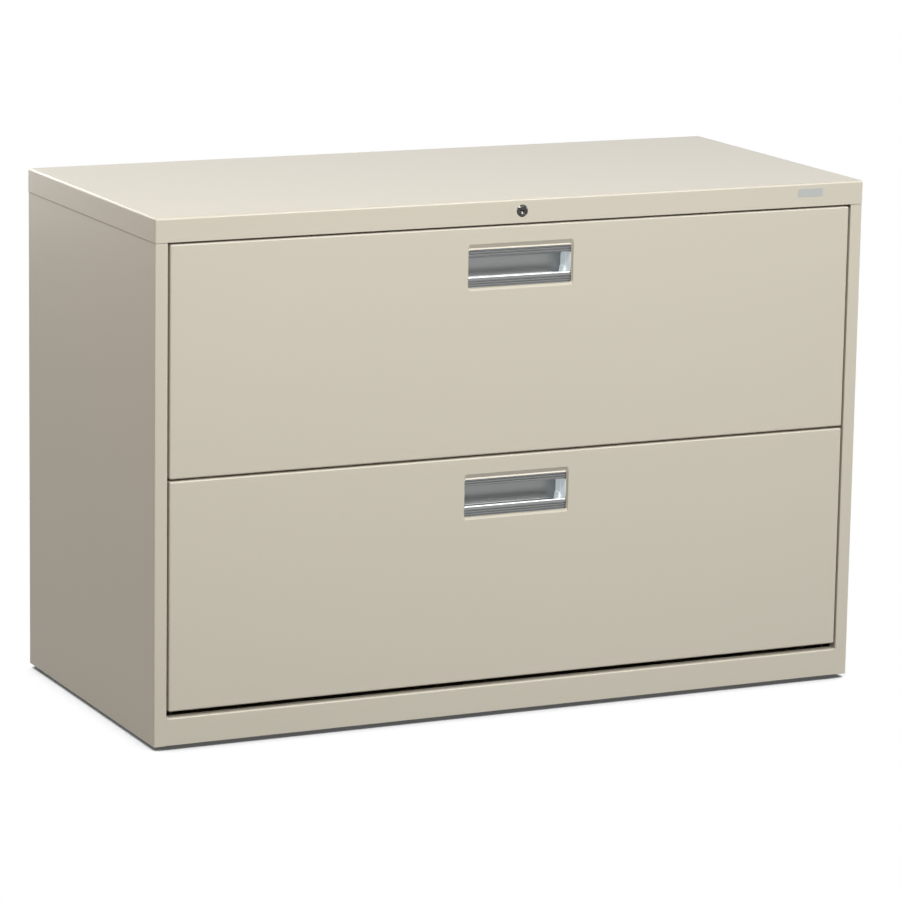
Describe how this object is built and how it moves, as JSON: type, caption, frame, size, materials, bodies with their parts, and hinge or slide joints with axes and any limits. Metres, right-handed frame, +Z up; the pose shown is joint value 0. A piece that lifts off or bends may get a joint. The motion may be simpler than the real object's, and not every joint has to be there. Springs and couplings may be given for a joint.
{
  "type": "lateral filing cabinet",
  "caption": "Wide folded-steel lateral filing cabinet with full-extension drawers, recessed aluminium pulls, a central lock in the top cap and levelling glides.",
  "frame": {"origin": "centre of the footprint, on the floor", "axes": "+Z up; drawers open towards -Y; +X to the right of someone facing the drawers"},
  "size_m": [1.0668, 0.489, 0.7207],
  "materials": {
    "paint": "warm putty powder coat, satin",
    "zinc_plate": "zinc plated sheet",
    "aluminium": "satin anodised extrusion",
    "dark_chrome": "dark polished chrome",
    "bright_steel": "bright drawn rod",
    "raw_iron": "dark rough iron",
    "black_plastic": "black moulded nylon",
    "yellow_zinc": "yellow passivated strip"
  },
  "bodies": {
    "cabinet": {"top_cap": "paint", "back_panel": "paint", "bottom_pan": "paint", "base_rail": "paint", "header_rail": "paint", "counterweight": "raw_iron", "left_side_panel": "paint", "left_front_post": "zinc_plate", "left_rear_post": "zinc_plate", "right_side_panel": "paint", "right_front_post": "zinc_plate", "right_rear_post": "zinc_plate", "lock_housing": "dark_chrome", "shaft_bracket": "zinc_plate", "lock_bar_channel": "zinc_plate", "upper_left_slide_outer": "zinc_plate", "upper_right_slide_outer": "zinc_plate", "lower_left_slide_outer": "zinc_plate", "lower_right_slide_outer": "zinc_plate"},
    "upper_drawer": {"upper_front_panel": "paint", "upper_front_liner": "paint", "upper_drawer_bottom": "paint", "upper_drawer_back": "paint", "upper_pull": "aluminium", "upper_front_hangrail": "zinc_plate", "upper_rear_hangrail": "zinc_plate", "upper_drawer_left_side": "paint", "upper_drawer_right_side": "paint", "upper_left_slide_inner": "zinc_plate", "upper_right_slide_inner": "zinc_plate"},
    "upper_slide_middles": {"upper_left_slide_intermediate": "zinc_plate", "upper_right_slide_intermediate": "zinc_plate"},
    "upper_outer_cages": {"upper_left_outer_cage": "yellow_zinc", "upper_right_outer_cage": "yellow_zinc"},
    "upper_inner_cages": {"upper_left_inner_cage": "yellow_zinc", "upper_right_inner_cage": "yellow_zinc"},
    "lower_drawer": {"lower_front_panel": "paint", "lower_front_liner": "paint", "lower_drawer_bottom": "paint", "lower_drawer_back": "paint", "lower_pull": "aluminium", "lower_front_hangrail": "zinc_plate", "lower_rear_hangrail": "zinc_plate", "lower_drawer_left_side": "paint", "lower_drawer_right_side": "paint", "lower_left_slide_inner": "zinc_plate", "lower_right_slide_inner": "zinc_plate"},
    "lower_slide_middles": {"lower_left_slide_intermediate": "zinc_plate", "lower_right_slide_intermediate": "zinc_plate"},
    "lower_outer_cages": {"lower_left_outer_cage": "yellow_zinc", "lower_right_outer_cage": "yellow_zinc"},
    "lower_inner_cages": {"lower_left_inner_cage": "yellow_zinc", "lower_right_inner_cage": "yellow_zinc"},
    "lock_cylinder": {"lock_plug": "dark_chrome", "lock_shaft": "bright_steel"},
    "lock_bolt": {"lock_bar": "zinc_plate"},
    "foot_front_left": {"glide_front_left": "black_plastic"},
    "foot_front_right": {"glide_front_right": "black_plastic"},
    "foot_rear_left": {"glide_rear_left": "black_plastic"},
    "foot_rear_right": {"glide_rear_right": "black_plastic"}
  },
  "joints": [
    {"name": "upper_drawer_slide", "type": "slide", "parent": "cabinet", "child": "upper_drawer", "axis": [0, -1, 0], "range_m": [0, 0.4]},
    {"name": "upper_middle_slide", "type": "slide", "parent": "cabinet", "child": "upper_slide_middles", "axis": [0, -1, 0], "range_m": [0, 0.2]},
    {"name": "upper_outer_cage_roll", "type": "slide", "parent": "cabinet", "child": "upper_outer_cages", "axis": [0, -1, 0], "range_m": [0, 0.1]},
    {"name": "upper_inner_cage_roll", "type": "slide", "parent": "cabinet", "child": "upper_inner_cages", "axis": [0, -1, 0], "range_m": [0, 0.3]},
    {"name": "lower_drawer_slide", "type": "slide", "parent": "cabinet", "child": "lower_drawer", "axis": [0, -1, 0], "range_m": [0, 0.4]},
    {"name": "lower_middle_slide", "type": "slide", "parent": "cabinet", "child": "lower_slide_middles", "axis": [0, -1, 0], "range_m": [0, 0.2]},
    {"name": "lower_outer_cage_roll", "type": "slide", "parent": "cabinet", "child": "lower_outer_cages", "axis": [0, -1, 0], "range_m": [0, 0.1]},
    {"name": "lower_inner_cage_roll", "type": "slide", "parent": "cabinet", "child": "lower_inner_cages", "axis": [0, -1, 0], "range_m": [0, 0.3]},
    {"name": "lock_turn", "type": "hinge", "parent": "cabinet", "child": "lock_cylinder", "pos_m": [0, -0.2175, 0.7042], "axis": [0, 1, 0], "range_deg": [0, 90]},
    {"name": "lock_bar_lift", "type": "slide", "parent": "cabinet", "child": "lock_bolt", "axis": [0, 0, 1], "range_m": [0, 0.01557]},
    {"name": "foot_front_left_screw", "type": "slide", "parent": "cabinet", "child": "foot_front_left", "axis": [0, 0, -1], "range_m": [0, 0.015]},
    {"name": "foot_front_right_screw", "type": "slide", "parent": "cabinet", "child": "foot_front_right", "axis": [0, 0, -1], "range_m": [0, 0.015]},
    {"name": "foot_rear_left_screw", "type": "slide", "parent": "cabinet", "child": "foot_rear_left", "axis": [0, 0, -1], "range_m": [0, 0.015]},
    {"name": "foot_rear_right_screw", "type": "slide", "parent": "cabinet", "child": "foot_rear_right", "axis": [0, 0, -1], "range_m": [0, 0.015]}
  ],
  "couplings": [
    {"joint": "upper_middle_slide", "follows": "upper_drawer_slide", "ratio": 0.5},
    {"joint": "upper_outer_cage_roll", "follows": "upper_drawer_slide", "ratio": 0.25},
    {"joint": "upper_inner_cage_roll", "follows": "upper_drawer_slide", "ratio": 0.75},
    {"joint": "lower_middle_slide", "follows": "lower_drawer_slide", "ratio": 0.5},
    {"joint": "lower_outer_cage_roll", "follows": "lower_drawer_slide", "ratio": 0.25},
    {"joint": "lower_inner_cage_roll", "follows": "lower_drawer_slide", "ratio": 0.75},
    {"joint": "lock_bar_lift", "follows": "lock_turn", "m_per_rad": 0.0099035}
  ]
}
